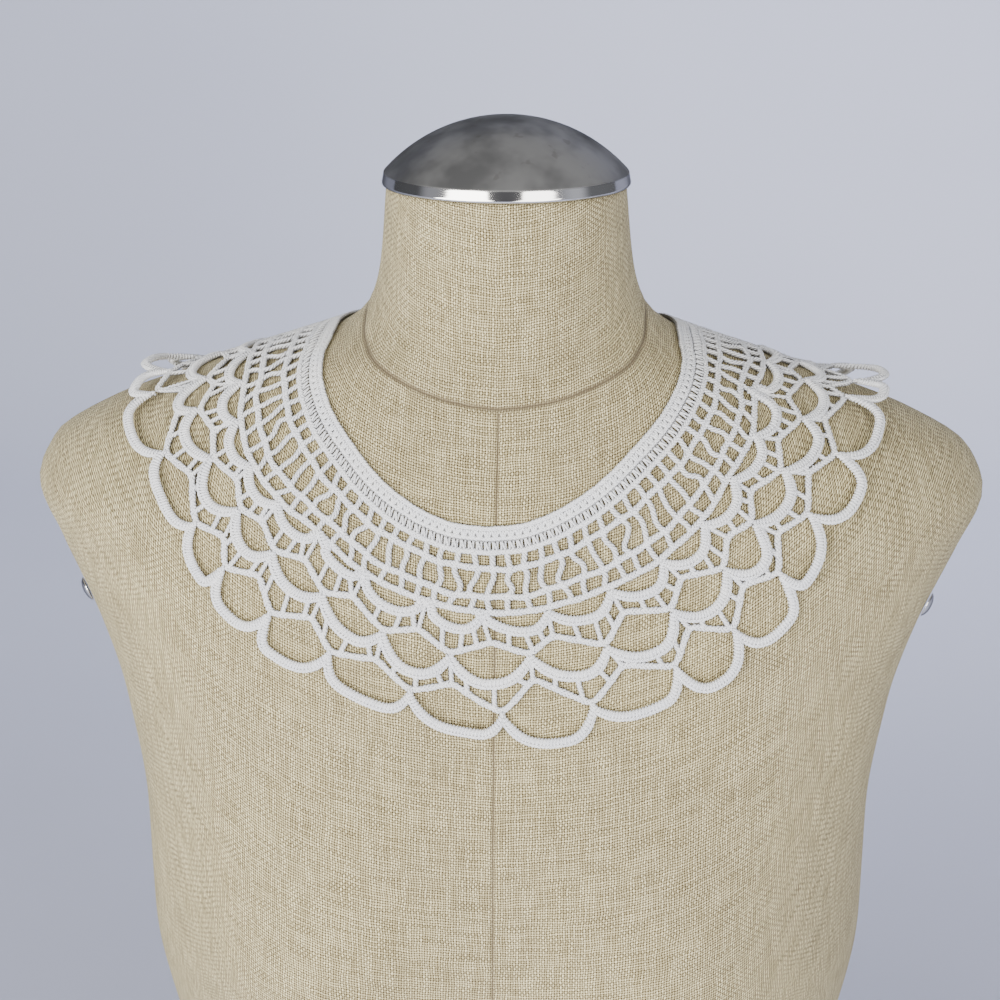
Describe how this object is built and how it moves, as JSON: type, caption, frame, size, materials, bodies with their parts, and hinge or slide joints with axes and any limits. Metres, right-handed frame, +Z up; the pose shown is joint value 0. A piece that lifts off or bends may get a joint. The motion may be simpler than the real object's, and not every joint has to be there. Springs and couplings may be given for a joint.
{
  "type": "lace collar on a dress form",
  "caption": "Crocheted lace collar with a dense neck band, a filet net and scalloped loop edging, laid round the shoulders of a linen-covered dress form with a domed steel neck cap.",
  "frame": {"origin": "middle of the flat base of the dress form, on the surface it stands on", "axes": "+Z up, -Y towards the front of the collar and the form, +X to the right in a front view"},
  "size_m": [0.3844, 0.2238, 0.5829],
  "materials": {
    "linen": "beige slubbed linen, matte",
    "steel": "brushed, polished at the rim",
    "cotton": "white mercerised cotton crochet thread"
  },
  "bodies": {
    "root": {"form_body": "linen", "neck_cap": "steel", "arm_screw_left": "steel", "arm_screw_right": "steel", "neck_band": "cotton", "filet_net": "cotton", "scallops_first": "cotton", "scallops_second": "cotton", "outer_loops": "cotton", "button": "cotton", "button_loop": "cotton"}
  },
  "joints": []
}
